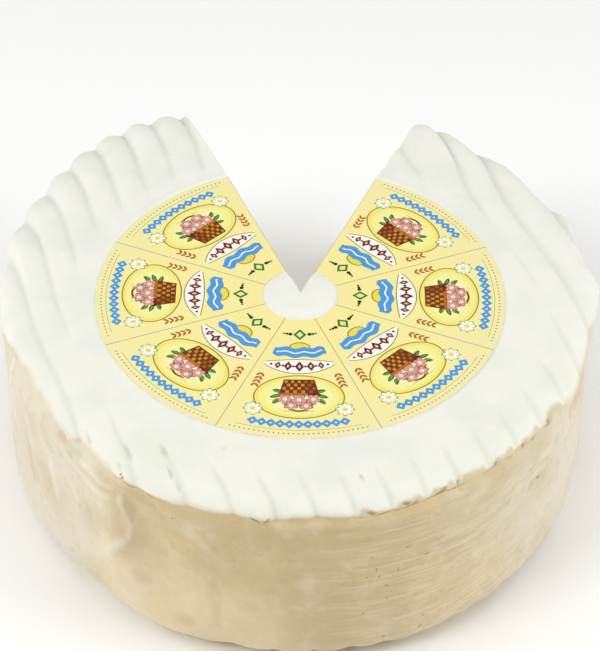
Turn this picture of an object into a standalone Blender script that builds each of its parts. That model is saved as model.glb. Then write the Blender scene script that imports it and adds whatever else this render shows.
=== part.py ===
"""A wheel of goat brie with one eighth cut out, and the round paper label on its top.

Lengths are metres. The wheel stands on Z = 0 and the cut opens towards +Y. Both pieces are built
round the upright line where the two knife cuts meet, which is also the middle of the label. At the
end they are moved together, so that the origin is under the middle of the wheel's bounding box.
"""

import math

import bmesh
import bpy
from mathutils import Matrix, Vector

# The wheel: a soft cheese of about 1.5 kg, a little longer from front to back than across
MEAN_RADIUS = 0.0911
WHEEL_HEIGHT = 0.0625
TOP_SHOULDER = 0.008
BASE_SHOULDER = 0.009
SIDE_BULGE = 0.0010
SIDE_TAPER = 0.0012
TOP_FALL = 0.0010

# How far the rind strays from the mean radius, as (waves in a turn, cosine part, sine part)
OUTLINE_WAVES = (
    (1, -0.0011, 0.0078),
    (2, -0.0031, -0.0011),
    (3, 0.0009, 0.0006),
    (4, -0.0003, 0.0004),
)

# Soft dents and swellings of the side: (angle, height, half angle, half height, outwards)
SIDE_LUMPS = (
    (-4, 0.030, 14, 0.024, -0.0029),
    (-8, 0.048, 10, 0.014, -0.0018),
    (-20, 0.008, 14, 0.008, -0.0005),
    (52, 0.034, 12, 0.018, 0.0009),
    (150, 0.030, 14, 0.020, -0.0009),
    (182, 0.038, 16, 0.020, -0.0019),
    (203, 0.014, 9, 0.012, -0.0003),
    (215, 0.006, 6, 0.007, -0.0008),
    (218, 0.040, 7, 0.016, -0.0012),
    (226, 0.006, 9, 0.013, -0.0014),
    (235, 0.036, 4, 0.022, 0.0012),
    (236, 0.005, 5, 0.006, -0.0005),
    (246, 0.026, 6, 0.018, -0.0009),
    (247, 0.004, 6, 0.006, 0.0006),
    (258, 0.004, 6, 0.006, -0.0006),
    (292, 0.022, 12, 0.014, 0.0008),
    (313, 0.005, 6, 0.007, 0.0006),
    (318, 0.010, 11, 0.014, -0.0012),
    (322, 0.005, 7, 0.007, 0.0008),
    (322, 0.044, 8, 0.010, -0.0008),
)

# The rim of the top, behind, where its edge swells and falls in: (angle, half angle, outwards)
RIM_LUMPS = (
    (9, 3, 0.0012),
    (18, 3, -0.0013),
    (27, 3, 0.0013),
    (42, 5, -0.0008),
    (54, 7, -0.0010),
    (64, 4, 0.0012),
    (114, 5, -0.0019),
    (126, 8, 0.0006),
    (148, 8, -0.0009),
)
RIM_HEIGHT = 0.058
RIM_REACH = 0.012

# The wires of the ripening rack pressed straight grooves into both flat faces. A groove is a
# narrow valley between two rounded ridges. Behind, the grooves are deeper and have crept sideways.
RACK_PITCH = 0.0101
RACK_TURN = math.radians(21)
RACK_START = 0.0042
RACK_WANDER = 0.0005
RACK_WANDER_LENGTH = 0.062
GROOVE_DEPTH = 0.0013
GROOVE_SHARPNESS = 1.4
LEFT_EXTRA_DEPTH = 0.0004
RIGHT_EXTRA_DEPTH = 0.0014
LEFT_CREEP = (-0.0012, 0.0016)
RIGHT_CREEP = (0.0003, 0.0030)
GROOVE_REACH_DOWN = 0.015
GROOVE_REACH_UP = 0.007
GROOVE_START = 0.0600
GROOVE_FULL = 0.0740

# The missing eighth
CUT_ANGLE = math.radians(45)

# The label: a die-cut paper ring, cut through together with the cheese
LABEL_RADIUS = 0.0593
LABEL_HOLE = 0.0110
LABEL_THICKNESS = 0.0003
LABEL_GAP = 0.0003

# How finely the wheel is divided
STEPS_ROUND = 208
LABEL_STEPS = 90
SHOULDER_STEPS = 5
SIDE_STEPS = 6
BASE_ARC_STEPS = 4
AXIS_STEPS = 4
TOP_RINGS = (0.0595, 0.0640, 0.0680, 0.0715, 0.0745, 0.0775, 0.0803)
BASE_RINGS = (0.0760, 0.0680, 0.0600)


def smooth_step(none, full, value):
    """0 up to the value none and 1 from the value full on, with a smooth change between them."""
    part = min(max((value - none) / (full - none), 0.0), 1.0)
    return part * part * (3.0 - 2.0 * part)


def outline_radius(angle):
    """The distance from the label's axis to the rind, at this angle from +X."""
    radius = MEAN_RADIUS
    for waves, cosine, sine in OUTLINE_WAVES:
        radius += cosine * math.cos(waves * angle) + sine * math.sin(waves * angle)
    return radius


def side_lump(angle, height):
    """How far the side stands out from a plain wall here."""
    total = 0.0
    for degrees, middle, half_angle, half_height, outwards in SIDE_LUMPS:
        away = math.remainder(angle - math.radians(degrees), math.tau) / math.radians(half_angle)
        above = (height - middle) / half_height
        total += outwards * math.exp(-away * away - above * above)
    above = (height - RIM_HEIGHT) / RIM_REACH
    for degrees, half_angle, outwards in RIM_LUMPS:
        away = math.remainder(angle - math.radians(degrees), math.tau) / math.radians(half_angle)
        total += outwards * math.exp(-away * away - above * above)
    return total


def behind(angle):
    """How much a place belongs to the left and to the right of the back, each from 0 to 1."""
    degrees = math.degrees(angle) % 360.0
    left = smooth_step(85.0, 105.0, degrees) * smooth_step(215.0, 180.0, degrees)
    degrees = math.remainder(degrees, 360.0)
    right = smooth_step(-4.0, 14.0, degrees) * smooth_step(90.0, 75.0, degrees)
    return left, right


def groove_depth(x, y):
    """How deep the rack has pressed the flat face here."""
    radius = math.hypot(x, y)
    left, right = behind(math.atan2(y, x))
    inner, outer = LEFT_CREEP
    creep = left * (inner + (outer - inner) * smooth_step(0.061, 0.086, radius))
    inner, outer = RIGHT_CREEP
    creep += right * (inner + (outer - inner) * smooth_step(0.072, 0.092, radius))
    across = x * math.cos(RACK_TURN) + y * math.sin(RACK_TURN) - creep
    along = y * math.cos(RACK_TURN) - x * math.sin(RACK_TURN)
    across += RACK_WANDER * math.sin(math.tau * along / RACK_WANDER_LENGTH)
    wave = 0.5 + 0.5 * math.cos(math.tau * (across - RACK_START) / RACK_PITCH)
    depth = GROOVE_DEPTH + left * LEFT_EXTRA_DEPTH
    depth += right * RIGHT_EXTRA_DEPTH * smooth_step(0.078, 0.090, radius)
    return depth * wave**GROOVE_SHARPNESS * smooth_step(GROOVE_START, GROOVE_FULL, radius)


def half_profile():
    """The plain wheel's outline from under the label's rim round to the base, as (radius, height)."""
    points = [(radius, WHEEL_HEIGHT) for radius in TOP_RINGS]
    middle = MEAN_RADIUS - TOP_SHOULDER
    for step in range(SHOULDER_STEPS + 1):
        turn = 0.5 * math.pi * step / SHOULDER_STEPS
        points.append(
            (
                middle + TOP_SHOULDER * math.sin(turn),
                WHEEL_HEIGHT - TOP_SHOULDER + TOP_SHOULDER * math.cos(turn),
            )
        )
    wall_top = WHEEL_HEIGHT - TOP_SHOULDER
    for step in range(1, SIDE_STEPS):
        points.append((MEAN_RADIUS, wall_top + (BASE_SHOULDER - wall_top) * step / SIDE_STEPS))
    middle = MEAN_RADIUS - BASE_SHOULDER
    for step in range(BASE_ARC_STEPS + 1):
        turn = 0.5 * math.pi * step / BASE_ARC_STEPS
        points.append(
            (
                middle + BASE_SHOULDER * math.cos(turn),
                BASE_SHOULDER - BASE_SHOULDER * math.sin(turn),
            )
        )
    points += [(radius, 0.0) for radius in BASE_RINGS]
    return points


def settled(point):
    """Moves a point of the plain round wheel to where the soft cheese has it."""
    radius = math.hypot(point.x, point.y)
    angle = math.atan2(point.y, point.x)
    outwards = smooth_step(LABEL_RADIUS, MEAN_RADIUS, radius)
    up = point.z / WHEEL_HEIGHT

    # The outline, and the wall's bulge, taper and dents
    radius += outwards * (outline_radius(angle) - MEAN_RADIUS)
    radius += outwards * (SIDE_BULGE * 4.0 * up * (1.0 - up) - SIDE_TAPER * (1.0 - up))
    radius += outwards * side_lump(angle, point.z)

    # The rack grooves: straight down on the top, inwards over the shoulder, straight up below
    x = radius * math.cos(angle)
    y = radius * math.sin(angle)
    depth = groove_depth(x, y)
    from_top = WHEEL_HEIGHT - point.z
    inwards = outwards * depth * smooth_step(GROOVE_REACH_DOWN, 0.0, from_top)
    inwards += outwards * depth * smooth_step(GROOVE_REACH_UP, 0.0, point.z)
    radius -= inwards
    height = point.z
    height -= (depth + outwards * TOP_FALL) * smooth_step(TOP_SHOULDER, 0.0, from_top)
    height += depth * smooth_step(BASE_SHOULDER, 0.0, point.z)
    return Vector((radius * math.cos(angle), radius * math.sin(angle), height))


def add_material(obj, name, hex_colour, roughness):
    material = bpy.data.materials.new(name)
    material.use_nodes = True
    shader = material.node_tree.nodes["Principled BSDF"]
    channels = [int(hex_colour[i : i + 2], 16) / 255.0 for i in (0, 2, 4)]
    linear = [c / 12.92 if c <= 0.04045 else ((c + 0.055) / 1.055) ** 2.4 for c in channels]
    shader.inputs["Base Color"].default_value = (*linear, 1.0)
    shader.inputs["Roughness"].default_value = roughness
    shader.inputs["Metallic"].default_value = 0.0
    obj.data.materials.append(material)


def object_from(bm, name):
    mesh = bpy.data.meshes.new(name)
    bm.to_mesh(mesh)
    bm.free()
    mesh.shade_smooth()
    mesh.set_sharp_from_angle(angle=math.radians(40))
    obj = bpy.data.objects.new(name, mesh)
    bpy.context.scene.collection.objects.link(obj)
    return obj


def spun(bm, outline, steps):
    """Turns a chain of (radius, height) points round the axis, from one knife cut to the other.

    It returns the line of points that each point of the chain leaves behind it.
    """
    chain = [bm.verts.new((radius, 0.0, height)) for radius, height in outline]
    edges = [bm.edges.new(pair) for pair in zip(chain, chain[1:])]
    first_cut = 0.5 * (math.pi + CUT_ANGLE)
    bmesh.ops.rotate(bm, verts=chain, cent=(0.0, 0.0, 0.0), matrix=Matrix.Rotation(first_cut, 3, "Z"))
    bmesh.ops.spin(
        bm,
        geom=chain + edges,
        cent=(0.0, 0.0, 0.0),
        axis=(0.0, 0.0, 1.0),
        dvec=(0.0, 0.0, 0.0),
        angle=math.tau - CUT_ANGLE,
        steps=steps,
        use_duplicate=False,
    )
    turned = list(bm.verts)
    return [turned[place :: len(chain)] for place in range(len(chain))]


def cheese_wheel():
    bm = bmesh.new()
    lines = spun(bm, half_profile(), STEPS_ROUND)

    # The edge where the two cut faces meet, down the middle of the cheese
    heights = [WHEEL_HEIGHT * (1.0 - step / AXIS_STEPS) for step in range(AXIS_STEPS + 1)]
    axis = [bm.verts.new((0.0, 0.0, height)) for height in heights]

    # The flat middles of the top and the base, and the two faces that the knife left
    bm.faces.new(lines[0] + axis[:1])
    bm.faces.new(lines[-1] + axis[-1:])
    for end in (0, -1):
        bm.faces.new([line[end] for line in lines] + axis[::-1])

    for line in lines:
        for vert in line:
            vert.co = settled(vert.co)
    bmesh.ops.recalc_face_normals(bm, faces=bm.faces)
    # Each face of the rind is split along the way that the grooves cross it
    split = {"FIXED": [], "ALTERNATE": []}
    for face in bm.faces:
        middle = face.calc_center_median()
        lean = (math.atan2(middle.y, middle.x) - RACK_TURN) % math.pi
        split["FIXED" if lean < 0.5 * math.pi else "ALTERNATE"].append(face)
    for quad_method, faces in split.items():
        bmesh.ops.triangulate(bm, faces=faces, quad_method=quad_method)
    return object_from(bm, "cheese_wheel")


def paper_label():
    bm = bmesh.new()
    under = WHEEL_HEIGHT + LABEL_GAP
    over = under + LABEL_THICKNESS
    corners = [(LABEL_HOLE, under), (LABEL_RADIUS, under), (LABEL_RADIUS, over), (LABEL_HOLE, over)]
    lines = spun(bm, corners, LABEL_STEPS)
    for inner, outer, next_inner, next_outer in zip(lines[0], lines[-1], lines[0][1:], lines[-1][1:]):
        bm.faces.new((inner, outer, next_outer, next_inner))
    for end in (0, -1):
        bm.faces.new([line[end] for line in lines])
    bmesh.ops.recalc_face_normals(bm, faces=bm.faces)
    bmesh.ops.triangulate(bm, faces=bm.faces)
    return object_from(bm, "paper_label")


for old in list(bpy.data.objects):
    bpy.data.objects.remove(old, do_unlink=True)

wheel = cheese_wheel()
add_material(wheel, "Mould-ripened rind", "F1EEE2", 0.75)
label = paper_label()
add_material(label, "Printed label paper", "F7EDB0", 0.45)

# The origin goes under the middle of the wheel's bounding box
xs = [v.co.x for v in wheel.data.vertices]
ys = [v.co.y for v in wheel.data.vertices]
middle = Vector((0.5 * (min(xs) + max(xs)), 0.5 * (min(ys) + max(ys)), 0.0))
for piece in (wheel, label):
    piece.location = -middle
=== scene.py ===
"""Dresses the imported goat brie: a mould-ripened wheel with one eighth cut out, and its round label.

Lengths are metres, and a name that ends in MM holds millimetres. Angles are degrees round the
label's axis, from +X towards +Y, so that 270 faces the camera and the cut is centred on 90.
"""

import math

import bmesh
import bpy
from mathutils import Matrix, Vector, noise
from mathutils.geometry import delaunay_2d_cdt


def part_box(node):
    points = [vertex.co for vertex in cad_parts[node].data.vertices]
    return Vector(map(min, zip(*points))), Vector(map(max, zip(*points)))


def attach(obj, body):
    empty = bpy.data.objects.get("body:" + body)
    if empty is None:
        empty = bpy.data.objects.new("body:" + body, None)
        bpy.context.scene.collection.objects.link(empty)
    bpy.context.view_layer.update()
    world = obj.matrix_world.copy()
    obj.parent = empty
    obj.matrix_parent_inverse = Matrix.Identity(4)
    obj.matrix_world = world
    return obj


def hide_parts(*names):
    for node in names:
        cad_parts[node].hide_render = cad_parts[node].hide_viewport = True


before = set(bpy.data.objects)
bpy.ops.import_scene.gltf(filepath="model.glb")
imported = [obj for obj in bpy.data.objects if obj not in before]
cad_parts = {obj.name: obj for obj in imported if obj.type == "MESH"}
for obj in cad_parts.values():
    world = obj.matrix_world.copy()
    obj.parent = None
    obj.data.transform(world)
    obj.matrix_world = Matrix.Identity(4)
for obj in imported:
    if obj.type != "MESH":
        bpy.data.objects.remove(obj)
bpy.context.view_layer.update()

MM = 0.001
# How far one degree runs round the side
MM_PER_DEGREE = 1.52
FULL_TURN_DEGREES = 360.0

# The wheel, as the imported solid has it
MEAN_RADIUS = 0.0911
WHEEL_HEIGHT = 0.0625
TOP_SHOULDER = 0.008
BASE_SHOULDER = 0.009
SIDE_BULGE = 0.0010
SIDE_TAPER = 0.0012
TOP_FALL = 0.0010
OUTLINE_WAVES = (
    (1, -0.0011, 0.0078),
    (2, -0.0031, -0.0011),
    (3, 0.0009, 0.0006),
    (4, -0.0003, 0.0004),
)
# Bulges and hollows of the side: (angle, height, half angle, half height, outwards)
SIDE_LUMPS = (
    (-4, 0.030, 14, 0.024, -0.0029),
    (-8, 0.048, 10, 0.014, -0.0018),
    (-20, 0.008, 14, 0.008, -0.0005),
    (52, 0.034, 12, 0.018, 0.0009),
    (150, 0.030, 14, 0.020, -0.0009),
    (182, 0.038, 16, 0.020, -0.0019),
    (203, 0.014, 9, 0.012, -0.0003),
    (215, 0.006, 6, 0.007, -0.0008),
    (218, 0.040, 7, 0.016, -0.0012),
    (226, 0.006, 9, 0.013, -0.0014),
    (235, 0.036, 4, 0.022, 0.0012),
    (236, 0.005, 5, 0.006, -0.0005),
    (246, 0.026, 6, 0.018, -0.0009),
    (247, 0.004, 6, 0.006, 0.0006),
    (258, 0.004, 6, 0.006, -0.0006),
    (292, 0.022, 12, 0.014, 0.0008),
    (313, 0.005, 6, 0.007, 0.0006),
    (318, 0.010, 11, 0.014, -0.0012),
    (322, 0.005, 7, 0.007, 0.0008),
    (322, 0.044, 8, 0.010, -0.0008),
)
# The same round the rim, all at one height: (angle, half angle, outwards). The rear right is drawn in
# further than in the solid, since its ridges stand higher here
RIM_LUMPS = (
    (9, 3, 0.0012),
    (14, 3, -0.0012),
    (18, 3, -0.0010),
    (28.5, 4, 0.0014),
    (36, 4, -0.0012),
    (36, 22, -0.0017),
    (42, 5, -0.0008),
    (54, 7, -0.0010),
    (64, 4, 0.0004),
    (68, 2.5, -0.0012),
    (114, 5, -0.0013),
    (126, 8, 0.0006),
    (148, 8, -0.0009),
)
RIM_HEIGHT = 0.058
RIM_REACH = 0.012
# The rack's wires: how far apart, which way they ran, and how they wandered
RACK_PITCH = 0.0101
RACK_TURN = math.radians(21)
RACK_START = 0.0042
RACK_WANDER = 0.0005
RACK_WANDER_LENGTH = 0.062
# How far the wires' marks crept across on each side: nearer the middle, and at the rim
LEFT_CREEP = (-0.0012, 0.0016)
RIGHT_CREEP = (0.0003, 0.0030)
GROOVE_REACH_UP = 0.007
CUT_ANGLE = math.radians(45)
LABEL_RADIUS = 0.0593
LABEL_HOLE = 0.0110

# The rack's grooves are sharper here than in the solid, with pillow-like ridges between them.
# Each pair of depths is that on the top and that at the rim
FRONT_DEPTH = (0.00050, 0.0009)
LEFT_DEPTH = (0.0009, 0.0019)
RIGHT_DEPTH = (0.0012, 0.0020)
RIM_START = 0.074
RIM_FULL = 0.090
# Ridges of the rear right that ran off their line: (where, shift on the top, shift at the rim)
RIGHT_SHIFTS = (
    (0.0547, -0.0010, -0.0010),
    (0.0665, 0.0013, 0.0045),
    (0.0890, 0.0004, 0.0018),
)
RIGHT_SHIFT_REACH = 0.0045
# The radii between which a groove comes in, and how far it runs down the side
FRONT_START = (0.0650, 0.0770)
REAR_START = (0.0585, 0.0720)
FRONT_REACH_DOWN = 0.007
REAR_REACH_DOWN = 0.015
# The power that rounds a ridge, and how round a valley is at its bottom
FRONT_PILLOW = 0.60
REAR_PILLOW = 0.80
VALLEY_ROUNDING = 0.07
# How unevenly the rack pressed, at the front and at the rear
UNEVEN_PRESS = (1.0, 0.35)

# The skin, in mm: how far a groove draws the mould's edge up, how thick the white coat is, and how far
# it has grown over the label's edge and risen in the label's hole
GROOVE_SCALLOP_MM = 0.9
COAT_MM = 0.35
GROWN_OVER_MM = 0.28
RISEN_IN_HOLE_MM = 0.9
# The skin's shape fades out over this depth under the rind
SKIN_REACH = 0.004
# The knife's marks, in mm: its waves, the torn curd and the small holes
KNIFE_WAVE_MM = 0.45
TORN_CURD_MM = 0.16
CURD_HOLE_MM = 1.0
# The label's paper: how thick it is, how far its print lies above the plain top, and how it wavers
PAPER_THICKNESS = 0.00014
PAPER_LIFT = 0.00042
PAPER_WAVE = 0.00009

# Where the white mould of the top gives way to the beige side: (angle, height in mm)
MOULD_EDGE = (
    (0, 55.5),
    (8, 53.0),
    (184, 53.0),
    (190, 56.6),
    (195, 59.0),
    (203, 59.9),
    (212, 59.9),
    (219, 58.6),
    (221.6, 57.9),
    (224, 58.8),
    (227, 59.0),
    (234, 58.4),
    (240, 57.4),
    (246, 57.2),
    (257, 57.9),
    (264, 57.5),
    (271, 58.4),
    (287, 58.3),
    (300, 59.0),
    (318, 58.7),
    (327, 58.6),
    (335, 57.1),
    (345, 57.8),
    (354, 58.0),
    (360, 55.5),
)

# How finely the wheel's rind is divided: steps round, and steps along each stretch of its outline
STEPS_ROUND = 600
MIDDLE_RADIUS = 0.0580
TOP_STEPS = 28
TOP_ARC_STEPS = 16
SIDE_STEPS = 68
BASE_ARC_STEPS = 12
BASE_STEPS = 12
# Where the flat middles and the cut faces have points, in mm: out from the axis, and up along it. The
# points inside a cut face lie this far apart, and no nearer to its border than the margin
MIDDLE_RADII = (*range(1, 16), 18, 20, 23, 27, 29, 34, 36, 41, 43, 47, 49, 52, 53, 56)
AXIS_HEIGHTS = [1.5 * step for step in range(1, 41)]
CUT_SPACING = 1.25
CUT_MARGIN = 0.8

label_low, label_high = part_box("paper_label")
label_axis = Vector((0.5 * (label_low.x + label_high.x), label_low.y + LABEL_RADIUS, 0.0))


def smooth_step(none, full, value):
    """0 up to the value none and 1 from the value full on, with a smooth change between."""
    part = min(max((value - none) / (full - none), 0.0), 1.0)
    return part * part * (3.0 - 2.0 * part)


def between(pair, share):
    """The value that lies this share of the way from the first of a pair to the second."""
    return pair[0] + (pair[1] - pair[0]) * share


def window(low, high, soft, value):
    """1 between low and high, fading to 0 over the soft distance outside them."""
    return smooth_step(low - soft, low, value) * smooth_step(high + soft, high, value)


def linear_colour(hex_colour):
    """An sRGB hex colour as the linear values that a shader takes."""
    channels = [int(hex_colour[i : i + 2], 16) / 255.0 for i in (0, 2, 4)]
    linear = [c / 12.92 if c <= 0.04045 else ((c + 0.055) / 1.055) ** 2.4 for c in channels]
    return (*linear, 1.0)


# The cheese's own shape


def outline_radius(angle):
    """How far out the wheel's plan outline lies at this angle."""
    radius = MEAN_RADIUS
    for waves, cosine, sine in OUTLINE_WAVES:
        radius += cosine * math.cos(waves * angle) + sine * math.sin(waves * angle)
    return radius


def side_lump(angle, height):
    """How far the bulges and hollows push the side outwards at this place."""
    at_rim = [(lump[0], RIM_HEIGHT, lump[1], RIM_REACH, lump[2]) for lump in RIM_LUMPS]
    total = 0.0
    for degrees, middle, half_angle, half_height, outwards in (*SIDE_LUMPS, *at_rim):
        away = math.remainder(angle - math.radians(degrees), math.tau) / math.radians(half_angle)
        above = (height - middle) / half_height
        total += outwards * math.exp(-away * away - above * above)
    return total


def behind(degrees):
    """How far a place is on the rear left and on the rear right of the wheel, each from 0 to 1."""
    left = smooth_step(85, 105, degrees) * smooth_step(215, 180, degrees)
    past_right = math.remainder(degrees, FULL_TURN_DEGREES)
    right = smooth_step(-4, 14, past_right) * smooth_step(90, 75, past_right)
    return left, right


def groove(radius, degrees):
    """A rack groove at this place of the top: (its depth, 1 in its valley to 0 on a crest)."""
    left, right = behind(degrees)
    rear = left + right
    angle = math.radians(degrees)
    x = radius * math.cos(angle)
    y = radius * math.sin(angle)
    creep = left * between(LEFT_CREEP, smooth_step(0.061, 0.086, radius))
    creep += right * between(RIGHT_CREEP, smooth_step(0.072, 0.092, radius))
    across = x * math.cos(RACK_TURN) + y * math.sin(RACK_TURN)
    at_rim = smooth_step(RIM_START, RIM_FULL, radius)
    for middle, on_top_by, at_rim_by in RIGHT_SHIFTS:
        near = math.exp(-(((across - middle) / RIGHT_SHIFT_REACH) ** 2))
        creep += right * near * between((on_top_by, at_rim_by), at_rim)
    across -= creep
    along = y * math.cos(RACK_TURN) - x * math.sin(RACK_TURN)
    across += RACK_WANDER * math.sin(math.tau * along / RACK_WANDER_LENGTH)
    away = math.hypot(VALLEY_ROUNDING, math.sin(math.pi * (across - RACK_START) / RACK_PITCH))
    pillow = between((FRONT_PILLOW, REAR_PILLOW), rear)
    pressed = max(1.0 - away**pillow, 0.0) / (1.0 - VALLEY_ROUNDING**pillow)
    start = between((FRONT_START[0], REAR_START[0]), rear)
    full = between((FRONT_START[1], REAR_START[1]), rear)
    pressed *= smooth_step(start, full, radius)
    depth = (1.0 - rear) * between(FRONT_DEPTH, at_rim)
    depth += left * between(LEFT_DEPTH, at_rim) + right * between(RIGHT_DEPTH, at_rim)
    # The rack pressed some places harder than others
    depth *= 1.0 + between(UNEVEN_PRESS, rear) * noise.noise(Vector((x / 0.013, y / 0.026, 6.0)))
    return depth * pressed, pressed


def plain_wall(radius, height):
    """How deep under the rind a point of the plain wheel lies, and the way out as (outwards, up)."""
    for shoulder, from_face, up in (
        (TOP_SHOULDER, WHEEL_HEIGHT - height, 1.0),
        (BASE_SHOULDER, height, -1.0),
    ):
        beyond = radius - (MEAN_RADIUS - shoulder)
        above = shoulder - from_face
        if beyond > 0.0 and above > 0.0:
            reach = math.hypot(beyond, above)
            return shoulder - reach, beyond / reach, up * above / reach
    depths = (
        (MEAN_RADIUS - radius, 1.0, 0.0),
        (WHEEL_HEIGHT - height, 0.0, 1.0),
        (height, 0.0, -1.0),
    )
    return min(depths)


def up_the_rind(radius, height):
    """How far up along the plain wheel's outline a point of its upper half lies."""
    corner = MEAN_RADIUS - TOP_SHOULDER
    start = WHEEL_HEIGHT - TOP_SHOULDER
    if height <= start:
        return height
    if radius <= corner:
        return start + TOP_SHOULDER * 0.5 * math.pi + corner - radius
    return start + TOP_SHOULDER * math.atan2(height - start, radius - corner)


def mould_edge(degrees):
    """How far up along the outline the white mould of the top gives way to the beige side."""
    for (start, low), (end, high) in zip(MOULD_EDGE, MOULD_EDGE[1:]):
        if degrees <= end:
            break
    height = low + (high - low) * smooth_step(start, end, degrees)
    turn = math.radians(degrees)
    for length, most in ((0.16, 0.35), (0.07, 0.25)):
        height += most * noise.noise(Vector((math.cos(turn) / length, math.sin(turn) / length, length)))
    height *= MM
    height += TOP_FALL * smooth_step(TOP_SHOULDER, 0.0, WHEEL_HEIGHT - height - 0.5 * TOP_FALL)
    over = min(max(height - (WHEEL_HEIGHT - TOP_SHOULDER), 0.0) / TOP_SHOULDER, 1.0)
    return up_the_rind(MEAN_RADIUS - TOP_SHOULDER * (1.0 - math.sqrt(1.0 - over * over)), height)


def settled(point):
    """Moves a point of the plain round wheel to where the soft cheese has it.

    It returns the place, the groove's depth there from 0 to 1, and the height without the groove.
    """
    radius = math.hypot(point.x, point.y)
    angle = math.atan2(point.y, point.x)
    degrees = math.degrees(angle) % FULL_TURN_DEGREES
    outwards = smooth_step(LABEL_RADIUS, MEAN_RADIUS, radius)
    up = point.z / WHEEL_HEIGHT
    radius += outwards * (outline_radius(angle) - MEAN_RADIUS)
    radius += outwards * (SIDE_BULGE * 4.0 * up * (1.0 - up) - SIDE_TAPER * (1.0 - up))
    radius += outwards * side_lump(angle, point.z)
    depth, pressed = groove(radius, degrees)
    from_top = WHEEL_HEIGHT - point.z
    reach_down = between((FRONT_REACH_DOWN, REAR_REACH_DOWN), sum(behind(degrees)))
    inwards = outwards * depth * smooth_step(reach_down, 0.0, from_top)
    inwards += outwards * depth * smooth_step(GROOVE_REACH_UP, 0.0, point.z)
    radius -= inwards
    level = point.z - outwards * TOP_FALL * smooth_step(TOP_SHOULDER, 0.0, from_top)
    height = level - depth * smooth_step(TOP_SHOULDER, 0.0, from_top)
    height += depth * smooth_step(BASE_SHOULDER, 0.0, point.z)
    place = Vector((radius * math.cos(angle), radius * math.sin(angle), height))
    return place, pressed, level


# Folds of the side: (outwards in mm, half width in mm, points as (angle, height in mm))
SIDE_FOLDS = (
    (0.52, 1.5, ((237.0, 52.5), (238.2, 48.5), (238.6, 43.5), (238.0, 38.5), (235.8, 33.5), (233.0, 29.5))),
    (-0.36, 2.8, ((240.2, 50.0), (242.0, 45.0), (241.8, 38.5), (239.8, 31.5))),
    (0.25, 3.4, ((231.0, 48.0), (234.0, 42.0), (233.6, 35.0), (231.6, 29.0))),
    (-0.30, 2.0, ((227.4, 46.0), (228.6, 38.0), (227.0, 30.0))),
    (-0.8, 1.5, ((219.6, 57.2), (222.0, 56.6), (226.0, 56.2))),
    (0.40, 0.8, ((221.6, 56.4), (227.0, 55.4), (234.5, 54.8))),
    (-0.40, 0.8, ((222.4, 54.6), (228.0, 53.4), (235.5, 52.6))),
    (0.30, 0.9, ((223.0, 52.8), (228.5, 51.2), (234.0, 50.4))),
    (-0.30, 1.0, ((222.6, 50.6), (227.4, 48.6), (232.5, 47.4))),
    (-0.5, 1.3, ((232.0, 56.4), (237.0, 55.4), (243.4, 54.8))),
    (0.5, 2.0, ((212.0, 57.0), (214.5, 50.0), (216.5, 41.0), (217.0, 32.0))),
    (0.35, 1.4, ((207.6, 52.0), (210.4, 42.0), (212.4, 30.0))),
    (-0.4, 1.6, ((204.0, 50.0), (206.4, 38.0), (207.5, 26.0))),
    (0.50, 1.2, ((196.8, 57.5), (198.8, 48.0), (199.8, 34.0))),
    (-0.35, 1.4, ((193.4, 54.0), (195.6, 40.0), (196.0, 26.0))),
    (-0.22, 1.2, ((255.6, 30.0), (256.4, 22.0), (255.8, 14.0))),
    (0.22, 1.5, ((253.6, 29.0), (254.2, 20.0), (253.2, 12.0))),
    (-0.30, 2.6, ((261.6, 25.6), (262.8, 23.4))),
    (0.20, 1.6, ((259.4, 22.0), (261.0, 19.6), (263.6, 19.0), (265.6, 21.0))),
    (0.5, 1.2, ((334.0, 57.6), (341.0, 58.6), (349.0, 59.2))),
    (-0.7, 1.8, ((334.0, 54.0), (341.0, 54.8), (350.0, 54.6))),
    (-0.45, 1.0, ((319.8, 42.0), (322.2, 41.0), (324.6, 38.6))),
    (0.40, 1.2, ((317.6, 44.0), (320.6, 45.2), (323.6, 44.0))),
)


def fold_relief(angle, height):
    """The outward relief of the folds, in mm, at this angle in degrees and height in mm."""
    total = 0.0
    for size, most in ((9.0, 1.6), (3.5, 0.5)):
        here = Vector((angle * MM_PER_DEGREE / size, height / size, size))
        angle += most / MM_PER_DEGREE * noise.noise(here)
        height += most * noise.noise(here + Vector((7.3, 2.1, 0.0)))
    for outwards, half_width, points in SIDE_FOLDS:
        angles = [point[0] for point in points]
        if not min(angles) - 5 < angle < max(angles) + 5:
            continue
        nearest = 1e9
        for (a, b), (c, d) in zip(points, points[1:]):
            run_x = (c - a) * MM_PER_DEGREE
            run_y = d - b
            to_x = (angle - a) * MM_PER_DEGREE
            to_y = height - b
            share = (to_x * run_x + to_y * run_y) / (run_x * run_x + run_y * run_y)
            share = min(max(share, 0.0), 1.0)
            nearest = min(nearest, math.hypot(to_x - share * run_x, to_y - share * run_y))
        total += outwards * math.exp(-((nearest / half_width) ** 2))
    return total


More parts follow.
